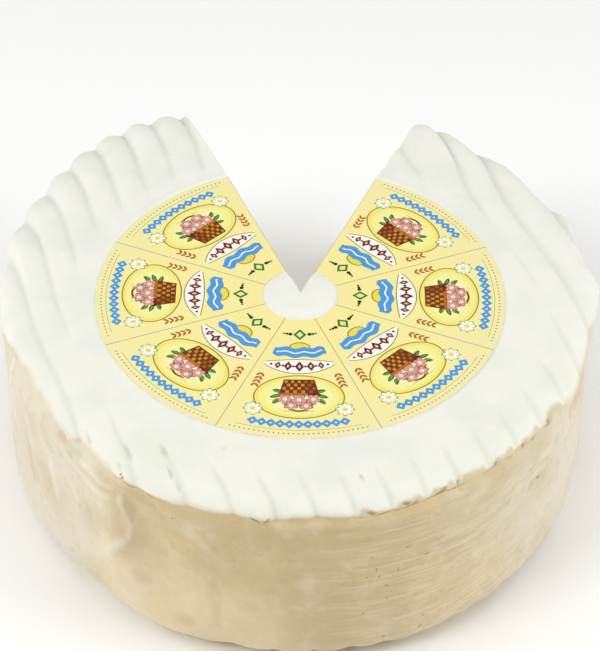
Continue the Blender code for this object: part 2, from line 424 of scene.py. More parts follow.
def side_relief(degrees, place):
    """Fine shape of the beige side, in mm outwards."""
    height = place.z / MM
    turn = math.radians(degrees)
    # Broad soft folds, stronger on the left front where the cheese slumped in its hoop
    slumped = window(196, 262, 14, degrees)
    there = Vector((place.x / 0.021, place.y / 0.021, place.z / 0.028))
    relief = (0.32 + 0.30 * slumped) * noise.noise(there + Vector((3.1, 7.7, 1.9)))
    there = Vector((place.x / 0.008, place.y / 0.008, place.z / 0.013))
    relief += (0.05 + 0.08 * slumped) * noise.noise(there + Vector((8.2, 1.4, 5.5)))
    # The fine level lines that the hoop left on the right front
    hooped = window(274, 324, 10, degrees) * window(6, 55, 4, height)
    line = height - 0.03 * (degrees - 290) + 0.8 * noise.noise(Vector((turn * 5.0, height / 9.0, 0.3)))
    faint = 0.30 + 1.3 * noise.noise(Vector((turn * 9.0, height / 3.0, 4.4)))
    lines = math.sin(math.tau * line / 2.9) + 0.5 * math.sin(math.tau * line / 1.85 + 1.0)
    relief += 0.12 * hooped * max(faint, 0.0) * lines
    # Slanting wrinkles farther right, under the rim
    wrinkled = window(314, 328, 5, degrees) * window(34, 53, 4, height)
    slant = height - 0.8 * (degrees - 320) + 2.2 * noise.noise(Vector((turn * 12.0, height / 7.0, 9.0)))
    relief += 0.16 * wrinkled * math.sin(math.tau * slant / 3.6)
    return relief + fold_relief(degrees, height)


def finished(point):
    """The final place of a point of the plain wheel, and what its materials need to know.

    That is its distance above the mould's edge, the groove's depth from 0 to 1, its depth under the
    rind, and the relief of the bare side in mm.
    """
    radius = math.hypot(point.x, point.y)
    depth, outwards, up = plain_wall(radius, point.z)
    place, pressed, level = settled(point)
    turn = math.atan2(point.y, point.x)
    degrees = math.degrees(turn) % FULL_TURN_DEGREES
    near = smooth_step(SKIN_REACH, 0.0, depth)
    upper_half = point.z > 0.5 * WHEEL_HEIGHT
    if upper_half:
        scallop = GROOVE_SCALLOP_MM * MM * (1.0 - window(281, 330, 6, degrees)) * pressed**1.5
        above = up_the_rind(radius, point.z) - mould_edge(degrees) - scallop
    else:
        above = 0.8 * MM - level
    if near <= 0.0:
        return place, above, pressed, depth, 0.0

    # The white coat is a little thicker than the bare side, and soft all over
    spot = place / 0.004
    coat = smooth_step(-0.4 * MM, 0.7 * MM, above)
    rise = COAT_MM * coat
    rise += coat * (0.06 * noise.noise(spot) + 0.20 * noise.noise(place / 0.011 + Vector((5.0, 0.0, 2.0))))
    rise += 0.03 * noise.noise(place / 0.0016)
    relief = smooth_step(0.0, 1.0, outwards) * (1.0 - coat) * side_relief(degrees, place)
    rise += relief
    # The mould has grown against and just over the label's cut edge
    if upper_half:
        ragged = 0.0004 * noise.noise(Vector((degrees / 3.1, 0.7, 0.0)))
        rim = radius - (LABEL_RADIUS + 0.0005 + ragged)
        grown = math.exp(-((rim / 0.0011) ** 2))
        rise += grown * (GROWN_OVER_MM + 0.16 * noise.noise(Vector((degrees / 2.3, 5.0, 0.0))))
        if radius < LABEL_RADIUS - 0.0004:
            rise *= 0.0 if radius > LABEL_HOLE + 0.0006 else 1.0
            rise += RISEN_IN_HOLE_MM * smooth_step(LABEL_HOLE, LABEL_HOLE - 0.004, radius)
    way = Vector((outwards * math.cos(turn), outwards * math.sin(turn), up))
    place += way * (rise * MM * near)
    place.z = max(place.z, 0.0)
    return place, above, pressed, depth, relief


def on_side(degrees, height_mm):
    """The place on the finished side at this angle and height, in the shared frame."""
    height = height_mm * MM
    for _ in range(3):
        over = max(height - (WHEEL_HEIGHT - TOP_SHOULDER), 0.0)
        radius = MEAN_RADIUS - TOP_SHOULDER + math.sqrt(TOP_SHOULDER**2 - min(over, TOP_SHOULDER) ** 2)
        turn = math.radians(degrees)
        place = finished(Vector((radius * math.cos(turn), radius * math.sin(turn), height)))[0]
        height = min(height + height_mm * MM - place.z, WHEEL_HEIGHT)
    return place + label_axis


def on_top(degrees, radius_mm):
    """The place on the finished top at this angle and distance from the label's axis."""
    turn = math.radians(degrees)
    reach = radius_mm * MM
    place = finished(Vector((reach * math.cos(turn), reach * math.sin(turn), WHEEL_HEIGHT)))[0]
    return Vector((reach * math.cos(turn), reach * math.sin(turn), place.z)) + label_axis


# Modelling steps that several pieces share


def deselect():
    bpy.ops.object.select_all(action="DESELECT")


def take_up(*pieces):
    """Selects these pieces alone, and makes the first of them active."""
    deselect()
    for piece in pieces:
        piece.select_set(True)
    bpy.context.view_layer.objects.active = pieces[0]


def weld(gap):
    """Joins the active piece's points that lie closer than the gap, and turns its faces alike."""
    bpy.ops.object.mode_set(mode="EDIT")
    bpy.ops.mesh.select_all(action="SELECT")
    bpy.ops.mesh.remove_doubles(threshold=gap)
    bpy.ops.mesh.normals_make_consistent(inside=False)
    bpy.ops.object.mode_set(mode="OBJECT")


def select_where(kind, test):
    """In edit mode, selects the vertices or edges whose middle passes the test, and nothing else."""
    bpy.ops.mesh.select_mode(type=kind)
    bpy.ops.mesh.select_all(action="DESELECT")
    mesh = bpy.context.object.data
    bm = bmesh.from_edit_mesh(mesh)
    for part in bm.verts if kind == "VERT" else bm.edges:
        middle = part.co if kind == "VERT" else 0.5 * (part.verts[0].co + part.verts[1].co)
        if test(middle):
            part.select_set(True)
    bm.select_flush_mode()
    bmesh.update_edit_mesh(mesh)


def piece_from(name, points, faces):
    """A new object at the origin with this mesh, selected and active."""
    mesh = bpy.data.meshes.new(name)
    mesh.from_pydata(points, [], faces)
    piece = bpy.data.objects.new(name, mesh)
    bpy.context.scene.collection.objects.link(piece)
    take_up(piece)
    return piece


def filled(loop, inner):
    """Triangles of a flat outline in mm, with these inner points: (points, faces)."""
    count = len(loop)
    edges = [(i, (i + 1) % count) for i in range(count)]
    points, _, faces, _, _, _ = delaunay_2d_cdt(
        [Vector(p) for p in loop + inner], edges, [list(range(count))], 1, 1e-5
    )
    return points, faces


# The wheel


def rind_band():
    """The rind from under the label's rim round to the base, spun from one knife cut to the other."""
    deselect()
    bpy.ops.mesh.primitive_plane_add(
        size=1.0,
        location=(0.5 * (MIDDLE_RADIUS + MEAN_RADIUS), 0.0, 0.5 * WHEEL_HEIGHT),
        rotation=(0.5 * math.pi, 0.0, 0.0),
    )
    band = bpy.context.object
    band.scale = (MEAN_RADIUS - MIDDLE_RADIUS, WHEEL_HEIGHT, 1.0)
    bpy.ops.object.transform_apply(location=True, rotation=True, scale=True)

    # The half section: rounded shoulders, then as many points on each stretch as it needs
    bpy.ops.object.mode_set(mode="EDIT")
    near = 0.0001
    top_corner = WHEEL_HEIGHT - TOP_SHOULDER
    select_where("VERT", lambda p: p.x > MEAN_RADIUS - near and p.z > WHEEL_HEIGHT - near)
    bpy.ops.mesh.bevel(offset=TOP_SHOULDER, segments=TOP_ARC_STEPS, affect="VERTICES")
    select_where("VERT", lambda p: p.x > MEAN_RADIUS - near and p.z < near)
    bpy.ops.mesh.bevel(offset=BASE_SHOULDER, segments=BASE_ARC_STEPS, affect="VERTICES")
    bpy.ops.mesh.select_all(action="SELECT")
    bpy.ops.mesh.delete(type="ONLY_FACE")
    select_where("EDGE", lambda p: p.x < MIDDLE_RADIUS + near)
    bpy.ops.mesh.delete(type="EDGE")
    for steps, test in (
        (TOP_STEPS, lambda p: p.z > WHEEL_HEIGHT - near and p.x < MEAN_RADIUS - TOP_SHOULDER),
        (SIDE_STEPS, lambda p: p.x > MEAN_RADIUS - near and BASE_SHOULDER < p.z < top_corner),
        (BASE_STEPS, lambda p: p.z < near and p.x < MEAN_RADIUS - BASE_SHOULDER),
    ):
        select_where("EDGE", test)
        bpy.ops.mesh.subdivide(number_cuts=steps - 1)
    bpy.ops.mesh.select_all(action="SELECT")
    bpy.ops.mesh.spin(
        steps=STEPS_ROUND, angle=math.tau - CUT_ANGLE, center=(0.0, 0.0, 0.0), axis=(0.0, 0.0, 1.0)
    )
    bpy.ops.object.mode_set(mode="OBJECT")
    return band


def ring_points(radius, spacing):
    """Points on a ring between the two knife cuts, clear of both, in mm."""
    span = math.tau - CUT_ANGLE
    count = max(int(round(radius * span / spacing)), 3)
    start = 0.5 * (math.pi + CUT_ANGLE)
    return [
        (radius * math.cos(start + span * step / count), radius * math.sin(start + span * step / count))
        for step in range(1, count)
    ]


def flat_middle(height):
    """The flat middle of the top or the base, inside the spun band."""
    span = math.tau - CUT_ANGLE
    start = 0.5 * (math.pi + CUT_ANGLE)
    rim = MIDDLE_RADIUS / MM
    loop = []
    for step in range(STEPS_ROUND + 1):
        turn = start + span * step / STEPS_ROUND
        loop.append((rim * math.cos(turn), rim * math.sin(turn)))
    for radius in reversed(MIDDLE_RADII):
        loop.append((radius * math.cos(start + span), radius * math.sin(start + span)))
    loop.append((0.0, 0.0))
    for radius in MIDDLE_RADII:
        loop.append((radius * math.cos(start), radius * math.sin(start)))
    inner = []
    for before, radius, after in zip((0.0, *MIDDLE_RADII), MIDDLE_RADII, (*MIDDLE_RADII[1:], rim)):
        inner += ring_points(radius, 0.5 * (after - before))
    points, faces = filled(loop, inner)
    return piece_from("flat_middle", [(p.x * MM, p.y * MM, height) for p in points], faces)


def cut_face(turn, chain):
    """One of the two faces that the knife left, standing at this angle round the axis.

    Chain is the band's half section there, from the top to the base, as points in mm.
    """
    loop = [(radius, WHEEL_HEIGHT / MM) for radius in (0.0, *MIDDLE_RADII)]
    loop += chain
    loop += [(radius, 0.0) for radius in reversed((0.0, *MIDDLE_RADII))]
    loop += [(0.0, height) for height in AXIS_HEIGHTS]
    inner = []
    rows = int(WHEEL_HEIGHT / MM / CUT_SPACING)
    columns = int(MEAN_RADIUS / MM / CUT_SPACING)
    for row in range(1, rows + 1):
        for column in range(columns + 1):
            radius = (column + 0.5 * (row % 2) + 0.4) * CUT_SPACING
            height = row * CUT_SPACING
            depth = plain_wall(radius * MM, height * MM)[0] / MM
            if min(depth, radius) > CUT_MARGIN:
                inner.append((radius, height))
    points, faces = filled(loop, inner)
    places = [(p.x * MM * math.cos(turn), p.x * MM * math.sin(turn), p.y * MM) for p in points]
    return piece_from("cut_face", places, faces)


# What the wheel's materials read at each of its points: mm above the mould's edge, 1 in a groove's
# valley, mm under the rind, mm of relief on the side, 1 where the side is tan and in painted shade, 1
# where the edge is crisp, the share of the hoop's lines, how many mm of bare lip part the side from
# the white, and 1 where the side's foot is painted paler, as if lit by light bounced off the floor
ATTRIBUTES = (
    "above_mould_edge",
    "groove",
    "under_rind",
    "side_relief",
    "tan_and_painted_shade",
    "crisp_edge",
    "hooped",
    "bare_lip",
    "painted_floor_bounce",
)


def surface_values(degrees, height_mm, pressed):
    """The last five of those values, which follow from the place alone."""
    # The front of the side is tan, partly its own colour and partly painted shade where it faces away from
    # the lamps, with a painted shade band under the rim; the right has less of it above the foot
    tan_and_painted_shade = window(252, 299, 36, degrees) * (0.75 + 0.25 * window(38, 52, 28, height_mm))
    tan_and_painted_shade *= 1.0 - 0.4 * smooth_step(289, 301, degrees) * smooth_step(12, 40, height_mm)
    crisp = max(window(235, 245, 2.5, degrees), window(281, 330, 4, degrees))
    hooped = 0.38 * window(284, 305, 17, degrees) * window(5, 53, 6, height_mm)
    ragged = noise.noise(Vector((degrees / 3.0, 0.4, 0.0)))
    lip = max(0.9 + ragged - 1.4 * smooth_step(0.2, 0.9, pressed), 0.0) * window(282, 331, 4, degrees)
    # Painted light: the foot of the front side is paler, as if lit by light bounced off the floor
    foot = window(238, 260, 16, degrees) * (1.0 - smooth_step(14, 46, height_mm))
    return tan_and_painted_shade, crisp, hooped, lip, foot


def cheese_wheel():
    """The whole wheel: the spun rind, the flat middles and the two cut faces, joined and shaped."""
    band = rind_band()
    mesh = band.data
    # Spin may run either way round, so the band is turned by where its points are
    angles = [math.degrees(math.atan2(v.co.y, v.co.x)) for v in mesh.vertices if abs(v.co.x) > 0.03]
    forwards = any(10.0 < angle < 35.0 for angle in angles)
    first = 0.5 * (math.pi + CUT_ANGLE) if forwards else 0.5 * (math.pi - CUT_ANGLE)
    chain = sorted(
        ((v.co.x / MM, v.co.z / MM) for v in mesh.vertices if abs(v.co.y) < 1e-7 and v.co.x > 0.0),
        key=lambda p: math.atan2(p[1] - 0.5 * WHEEL_HEIGHT / MM, p[0] - MIDDLE_RADIUS / MM + 0.001),
        reverse=True,
    )
    mesh.transform(Matrix.Rotation(first, 4, "Z"))
    middles = [flat_middle(height) for height in (WHEEL_HEIGHT, 0.0)]
    cuts = [cut_face(0.5 * (math.pi + side * CUT_ANGLE), chain) for side in (1, -1)]
    slots = [(band, 0)] + [(piece, 0) for piece in middles] + [(piece, 1) for piece in cuts]
    for piece, slot in slots:
        piece.data.materials.clear()
        piece.data.materials.append(rind_material)
        piece.data.materials.append(paste_material)
        for face in piece.data.polygons:
            face.material_index = slot
    take_up(band, *middles, *cuts)
    bpy.ops.object.join()
    weld(0.00005)

    wheel = band
    wheel.name = "goat_brie_wheel"
    mesh = wheel.data
    mesh.name = wheel.name
    on_rind = set()
    for face in mesh.polygons:
        if face.material_index == 0:
            on_rind.update(face.vertices)
    values_of = {name: [] for name in ATTRIBUTES}
    for vertex in mesh.vertices:
        turn = math.atan2(vertex.co.y, vertex.co.x)
        place, above, pressed, depth, relief = finished(vertex.co)
        if vertex.index not in on_rind:
            place += knife_drag(place, turn, depth)
        vertex.co = place
        by_place = surface_values(math.degrees(turn) % FULL_TURN_DEGREES, place.z / MM, pressed)
        for name, value in zip(ATTRIBUTES, (above / MM, pressed, depth / MM, relief, *by_place)):
            values_of[name].append(value)
    for name, values in values_of.items():
        attribute = mesh.attributes.new(name, "FLOAT", "POINT")
        attribute.data.foreach_set("value", values)
    mesh.transform(Matrix.Translation(label_axis))
    take_up(wheel)
    bpy.ops.object.shade_smooth_by_angle(angle=math.radians(50))
    return wheel


def knife_drag(place, turn, depth):
    """The slightly wavy, torn surface that the knife left, as a shift across the cut."""
    radius = math.hypot(place.x, place.y)
    in_paste = smooth_step(0.0, 0.003, depth) * smooth_step(0.0, 0.004, radius)
    across = Vector((-math.sin(turn), math.cos(turn), 0.0))
    # The two faces aren't alike, so the pattern differs by the side that a face is on
    side = math.cos(turn)
    shift = KNIFE_WAVE_MM * noise.noise(Vector((radius / 0.011, place.z / 0.024, side * 3.0)))
    shift += TORN_CURD_MM * noise.noise(Vector((radius / 0.0032, place.z / 0.0032, 4.0 + side)))
    hole = noise.noise(Vector((radius / 0.0042, place.z / 0.0034, 9.0 + 5.0 * side)))
    shift -= math.copysign(CURD_HOLE_MM, side) * smooth_step(0.48, 0.68, hole)
    return across * (shift * MM * in_paste)


# The label's print, drawn once for one of its sectors. There the first number of a point runs
# round the label and the second one out from its middle, both in mm. Later fields lie on earlier ones
SECTORS = 7
SECTOR_HALF = 22.5
BLUE = "519BD9"
DARK_RED = "70100C"
BROWN = "BC6E0A"
DARK_BROWN = "6B3208"
PINK = "D99C8E"
LEAF_GREEN = "2F7F14"
OLIVE = "8F8F2E"
WHITE = "FBFAF2"
CREAM = "FAF6DE"
NEAR_BLACK = "1C1408"
STRONG_YELLOW = "F2DC50"
# One edge of a leaf, from its stalk to its tip, as shares of its length and width
LEAF_EDGE = ((0.25, 0.42), (0.5, 0.5), (0.78, 0.34))
# How far in a flower's outline comes between two petals
PETAL_WAIST = 0.55
# The basket's leaves: (across, outwards, length, slant in degrees), on its right side
BASKET_LEAVES = ((5.0, 42.2, 3.4, 18.0), (5.4, 43.6, 3.0, 48.0), (4.6, 41.0, 3.0, -16.0))
# The basket's blossoms: (across, outwards, radius)
BLOSSOMS = (
    (-2.0, 46.6, 1.75),
    (2.2, 46.5, 1.75),
    (-4.0, 43.9, 1.95),
    (3.9, 43.9, 1.95),
    (0.0, 44.2, 2.15),
)
# How far out the picture, the plaque, the lozenge near the hole and the blue chain lie
PICTURE_MIDDLE = 43.0
PLAQUE_MIDDLE = 30.7
LOZENGE_MIDDLE = 17.3
CHAIN_MIDDLE = 53.9


def polar(radius, degrees):
    """The point of the sector this far out and this far round."""
    return radius * math.sin(math.radians(degrees)), radius * math.cos(math.radians(degrees))


def arc_band(inner, outer, half_angle, step=1.5):
    """A band between two radii. Each radius is a number, or a function of the angle."""
    count = max(int(round(2 * half_angle / step)), 2)
    angles = [half_angle * (2 * i / count - 1) for i in range(count + 1)]
    upper = [polar(outer(a) if callable(outer) else outer, a) for a in angles]
    lower = [polar(inner(a) if callable(inner) else inner, a) for a in reversed(angles)]
    return upper + lower


def swelling_band(middle, half, half_angle, step=1.5):
    """A band whose middle radius and half width are functions of the angle."""
    return arc_band(lambda a: middle(a) - half(a), lambda a: middle(a) + half(a), half_angle, step)


def lozenge(v, half_width, half_height):
    return [(0.0, v - half_height), (half_width, v), (0.0, v + half_height), (-half_width, v)]


def oval(u, v, half_width, half_height, sides=8):
    angles = [math.tau * i / sides for i in range(sides)]
    return [(u + half_width * math.cos(a), v + half_height * math.sin(a)) for a in angles]


def leaf(u, v, length, width, degrees):
    """A pointed leaf that starts at (u, v)."""
    left = [(along * length, across * width) for along, across in LEAF_EDGE]
    right = [(x, -y) for x, y in reversed(left)]
    c = math.cos(math.radians(degrees))
    s = math.sin(math.radians(degrees))
    shape = [(0.0, 0.0), *left, (length, 0.0), *right]
    return [(u + x * c - y * s, v + x * s + y * c) for x, y in shape]


def flower(u, v, radius, petals):
    """A flower seen from above, with one petal pointing outwards."""
    points = []
    for i in range(petals * 6):
        turn = math.tau * i / (petals * 6)
        reach = radius * (PETAL_WAIST + (1.0 - PETAL_WAIST) * abs(math.cos(0.5 * petals * turn)) ** 0.7)
        points.append((u - reach * math.sin(turn), v + reach * math.cos(turn)))
    return points


def turned(points, degrees):
    """Turns points of the sector round the label's axis, clockwise as seen from above the print."""
    c = math.cos(math.radians(degrees))
    s = math.sin(math.radians(degrees))
    return [(u * c + v * s, v * c - u * s) for u, v in points]


def mixed_colour(first, second, share):
    """The linear colour that lies this share of the way from one hex colour to another."""
    share = min(max(share, 0.0), 1.0)
    return tuple(a + (b - a) * share for a, b in zip(linear_colour(first), linear_colour(second)))


def sector_print():
    """All fields of one sector, as (outline, colour at a point)."""
    hole = LABEL_HOLE / MM
    rim = LABEL_RADIUS / MM
    fields = []

    def ink(outline, colour):
        fields.append((outline, (lambda u, v: linear_colour(colour)) if isinstance(colour, str) else colour))

    ink(
        arc_band(hole, rim, SECTOR_HALF),
        lambda u, v: mixed_colour("F9EDA0", "F3ECB0", (math.hypot(u, v) - 50.0) / 8.0),
    )
    for side in (-1, 1):
        corner = polar(1.0, side * SECTOR_HALF)
        inwards = (-side * 0.11 * corner[1], side * 0.11 * corner[0])
        line = [(corner[0] * hole, corner[1] * hole), (corner[0] * rim, corner[1] * rim)]
        line += [(x + inwards[0], y + inwards[1]) for x, y in reversed(line)]
        ink(line, "A9A058")

    # A green lozenge with dots beside it, near the hole
    ink(lozenge(LOZENGE_MIDDLE, 1.9, 2.3), LEAF_GREEN)
    ink(lozenge(LOZENGE_MIDDLE, 1.0, 1.3), "E9EBA0")
    for degrees, size in ((9.0, 0.62), (12.2, 0.46), (15.0, 0.34)):
        for side in (-1, 1):
            ink(oval(*polar(LOZENGE_MIDDLE, side * degrees), size, size), NEAR_BLACK)

    # A rising half sun on a wavy blue ribbon with a white line
    ink(oval(0.0, 22.8, 3.1, 2.3, 16), OLIVE)
    ink(oval(0.0, 22.8, 2.7, 1.9, 16), STRONG_YELLOW)

    def ribbon_middle(a):
        return 24.9 + 0.38 * math.sin(math.radians(a * 31.0))

    def ribbon_half(a):
        return 2.0 - 0.6 * smooth_step(12.5, 17.0, abs(a))

    ink(swelling_band(ribbon_middle, ribbon_half, 17.0), BLUE)
    ink(swelling_band(ribbon_middle, lambda a: 0.24, 15.0), WHITE)

    # A white plaque, pointed at both ends, with a row of dark red lozenges
    for border, colour in ((0.32, OLIVE), (0.0, WHITE)):
        plaque = swelling_band(
            lambda a: PLAQUE_MIDDLE,
            lambda a: 2.75 * math.cos(math.radians(a * 4.6)) ** 0.8 + border,
            18.6,
            1.55,
        )
        ink(plaque, colour)
    for degrees, tall in ((0.0, 2.15), (6.0, 1.95), (11.4, 1.5)):
        for side in (-1, 1) if degrees else (1,):
            wide = 0.62 * tall
            ink(turned(lozenge(PLAQUE_MIDDLE, wide, tall), side * degrees), DARK_RED)
            ink(turned(lozenge(PLAQUE_MIDDLE, 0.36 * wide, 0.4 * tall), side * degrees), "E8C9A0")
    for degrees in (-15.0, -8.8, -3.1, 3.1, 8.8, 15.0):
        ink(oval(*polar(PLAQUE_MIDDLE, degrees), 0.42, 0.42), DARK_RED)

    # An oval picture: a woven basket of pink blossoms
    ink(oval(0.0, PICTURE_MIDDLE, 12.75, 8.75, 44), OLIVE)
    ink(oval(0.0, PICTURE_MIDDLE, 12.35, 8.35, 44), "F6E77A")
    for share, colour in ((0.9, "F8F092"), (0.76, "F9F3A8"), (0.6, "FAF5BE"), (0.42, "FBF8D2")):
        ink(oval(0.0, PICTURE_MIDDLE, 12.35 * share, 8.35 * share, 36), colour)
    ink(arc_band(48.6, 49.0, 5.0), "E9DC7C")
    for side in (-1, 1):
        for u, v, length, degrees in BASKET_LEAVES:
            vein = leaf(u + 0.4, v + 0.1, length * 0.7, 0.3, degrees)
            ink([(side * x, y) for x, y in leaf(u, v, length, 1.5, degrees)], LEAF_GREEN)
            ink([(side * x, y) for x, y in vein], "8FB23C")
    half_turn = [math.pi * i / 18 for i in range(19)]
    handle = [(5.0 * math.cos(a), 41.6 + 7.4 * math.sin(a)) for a in half_turn]
    handle += [(4.45 * math.cos(a), 41.6 + 6.8 * math.sin(a)) for a in reversed(half_turn)]
    ink(handle, DARK_BROWN)
    ink([(-5.6, 41.9), (-4.3, 36.0), (4.3, 36.0), (5.6, 41.9)], DARK_BROWN)
    for row in range(4):
        low = 36.3 + 1.32 * row
        for column in range(9):
            if (row + column) % 2:
                continue
            spread = (4.1 + 0.29 * row) / 4.5
            left = (column - 4.5) * spread
            strand = [(left + 0.05, low + 0.1), (left + spread - 0.05, low + 0.1)]
            strand += [(left + spread * 0.98, low + 1.15), (left + 0.02, low + 1.15)]
            ink(strand, "D08A2A" if column > 2 else "A65A10")
    ink([(-5.9, 41.5), (5.9, 41.5), (6.0, 42.5), (-6.0, 42.5)], BROWN)
    ink([(-5.9, 41.5), (-2.4, 41.5), (-2.4, 42.5), (-6.0, 42.5)], DARK_RED)
    for u, v, size in BLOSSOMS:
        ink(flower(u, v, size + 0.3, 5), "8A4238")
        ink(flower(u, v, size, 5), PINK)
        ink(oval(u, v, 0.62, 0.62, 7), WHITE)
        ink(oval(u, v, 0.28, 0.28, 6), STRONG_YELLOW)

    # White daisies with a green rim in the outer corners, and brown sprigs in the inner ones
    for side in (-1, 1):
        u, v = polar(49.3, side * 14.9)
        ink(flower(u, v, 2.75, 8), "3E9A3C")
        ink(flower(u, v, 2.4, 8), WHITE)
        ink(oval(u, v, 0.85, 0.85, 8), STRONG_YELLOW)
        for step in range(4):
            u, v = polar(34.9 + 1.5 * step, side * (17.6 + 0.1 * step))
            slant = 90.0 - side * 17.5
            ink(leaf(u, v, 1.9, 0.8, slant + 38.0), "B4682A")
            ink(leaf(u, v, 1.9, 0.8, slant - 38.0), "B4682A")

    # A chain of blue lozenges, a thin line and a row of dots along the rim
    for step in range(-5, 6):
        for half, colour in ((1.62, BLUE), (0.40, CREAM)):
            ink(turned(lozenge(CHAIN_MIDDLE, half, half), step * 2.72), colour)
    ink(arc_band(56.1, 56.28, 18.0), "B9B060")
    for step in range(-14, 15):
        ink(oval(*polar(57.55, step * 1.36), 0.27, 0.27, 6), "9C8B3C")
    return fields


def inside(outline, u, v):
    """Whether a point lies inside an outline."""
    found = False
    for (a, b), (c, d) in zip(outline, outline[1:] + outline[:1]):
        if (b > v) != (d > v) and u < (c - a) * (v - b) / (d - b) + a:
            found = not found
    return found


def printed_sector():
    """One sector as triangles: (points in mm, faces, colours of each face's corners)."""
    fields = sector_print()
    points = []
    edges = []
    for outline, _ in fields:
        first = len(points)
        points += [Vector(p) for p in outline]
        edges += [(first + i, first + (i + 1) % len(outline)) for i in range(len(outline))]
    for radius in range(15, 57, 4):
        count = max(int(radius * math.radians(2 * SECTOR_HALF) / 4.0), 2)
        for step in range(1, count):
            points.append(Vector(polar(radius, SECTOR_HALF * (2 * step / count - 1))))
    points, _, faces, _, _, _ = delaunay_2d_cdt(points, edges, [], 0, 1e-4)
    boxes = []
    for outline, _ in fields:
        us, vs = zip(*outline)
        boxes.append((min(us), max(us), min(vs), max(vs)))
    kept = []
    colours = []
    for face in faces:
        u = sum(points[i].x for i in face) / len(face)
        v = sum(points[i].y for i in face) / len(face)
        found = None
        for (outline, colour), (u_low, u_high, v_low, v_high) in zip(fields, boxes):
            if u_low <= u <= u_high and v_low <= v <= v_high and inside(outline, u, v):
                found = colour
        if found:
            kept.append(face)
            colours.append([found(points[i].x, points[i].y) for i in face])
    return points, kept, colours


def paper_height(x, y):
    """How the label follows the cheese under it: the height of its upper side."""
    there = Vector((x / 0.019, y / 0.019, 2.7))
    return WHEEL_HEIGHT + PAPER_LIFT + PAPER_WAVE * noise.noise(there)


def round_label():
    """The printed paper ring: seven sectors, one by one round the label, with a thin plain back."""
    points, faces, colours = printed_sector()
    places = []
    all_faces = []
    all_colours = []
    for sector in range(SECTORS):
        out = math.radians(270 + 2 * SECTOR_HALF * (sector - SECTORS // 2))
        first = len(places)
        for p in points:
            x = MM * (p.y * math.cos(out) + p.x * math.sin(out))
            y = MM * (p.y * math.sin(out) - p.x * math.cos(out))
            places.append((x, y, paper_height(x, y)))
        all_faces += [[first + i for i in face] for face in faces]
        all_colours += colours
    label = piece_from("round_paper_label", places, all_faces)
    mesh = label.data
    ink = mesh.color_attributes.new(name="ink", type="FLOAT_COLOR", domain="CORNER")
    ink.data.foreach_set("color", [c for face in all_colours for corner in face for c in corner])
    mesh.materials.append(paper_material)
    mesh.materials.append(bare_paper_material)
    weld(0.00001)
    if sum(face.normal.z for face in mesh.polygons) < 0.0:
        mesh.flip_normals()
    thickness = label.modifiers.new("Paper thickness", "SOLIDIFY")
    thickness.thickness = PAPER_THICKNESS
    thickness.offset = -1.0
    thickness.material_offset = 1
    thickness.material_offset_rim = 1
    bpy.ops.object.modifier_apply(modifier=thickness.name)
    mesh.transform(Matrix.Translation(label_axis))
    bpy.ops.object.shade_smooth_by_angle(angle=math.radians(40))
    return label


# Materials


def add_node(tree, kind, inputs=None, **settings):
    """Adds a node. Its inputs are values, hex colours or other nodes' outputs, by name or number."""
    made = tree.nodes.new(kind)
    for name, value in settings.items():
        setattr(made, name, value)
    for socket, value in (inputs or {}).items():
        if isinstance(value, bpy.types.NodeSocket):
            tree.links.new(value, made.inputs[socket])
        else:
            made.inputs[socket].default_value = linear_colour(value) if isinstance(value, str) else value
    return made


def new_material(name, slots):
    """A node material with its Principled shader's plain values set: (material, tree, shader)."""
    material = bpy.data.materials.new(name)
    material.use_nodes = True
    tree = material.node_tree
    shader = tree.nodes["Principled BSDF"]
    for socket, value in slots.items():
        shader.inputs[socket].default_value = value
    return material, tree, shader


def patches(tree, place, size_mm, detail=2.0, flatten=1.0):
    """A cloudy pattern about 0.5. Its patches are this wide, and flatten times less tall."""
    scaled = add_node(tree, "ShaderNodeMapping", {"Vector": place, "Scale": (1.0, 1.0, flatten)})
    settings = {"Vector": scaled.outputs[0], "Scale": 1.0 / (size_mm * MM), "Detail": detail}
    return add_node(tree, "ShaderNodeTexNoise", settings).outputs["Fac"]


def tinted(tree, colour, tint, where, low, high, most=1.0):
    """Blends a tint over a colour as the value of where runs from low to high."""
    span = {"Value": where, "From Min": low, "From Max": high, "To Max": most}
    amount = add_node(tree, "ShaderNodeMapRange", span, interpolation_type="SMOOTHSTEP")
    mix = {0: amount.outputs[0], 6: colour, 7: tint}
    return add_node(tree, "ShaderNodeMix", mix, data_type="RGBA").outputs[2]


def away_from_marks(tree, place, marks):
    """How far a place is from the nearest oval mark: 0 in its middle and 1 at its border.

    A mark is (middle, turns round the three axes, half sizes in mm).
    """
    nearest = None
    for middle, turns, sizes in marks:
        half_sizes = [size * MM for size in sizes]
        settings = {"Vector": place, "Location": middle, "Rotation": turns, "Scale": half_sizes}
        local = add_node(tree, "ShaderNodeMapping", settings, vector_type="TEXTURE")
        length = add_node(tree, "ShaderNodeVectorMath", {0: local.outputs[0]}, operation="LENGTH")
        away = length.outputs["Value"]
        if nearest is not None:
            away = add_node(tree, "ShaderNodeMath", {0: nearest, 1: away}, operation="MINIMUM").outputs[0]
        nearest = away
    return nearest


def side_marks(marks):
    """Marks on the side, as away_from_marks takes them."""
    found = []
    for degrees, height, half_length, half_height, slant in marks:
        turns = (math.radians(slant), 0.0, math.radians(degrees))
        found.append((on_side(degrees, height), turns, (2.0, half_length, half_height)))
    return found


def groove_marks(marks):
    """Marks that lie in the grooves of the top, as away_from_marks takes them."""
    return [
        (on_top(degrees, radius), (0.0, 0.0, RACK_TURN), (half_width, half_length, 2.0))
        for degrees, radius, half_length, half_width in marks
    ]


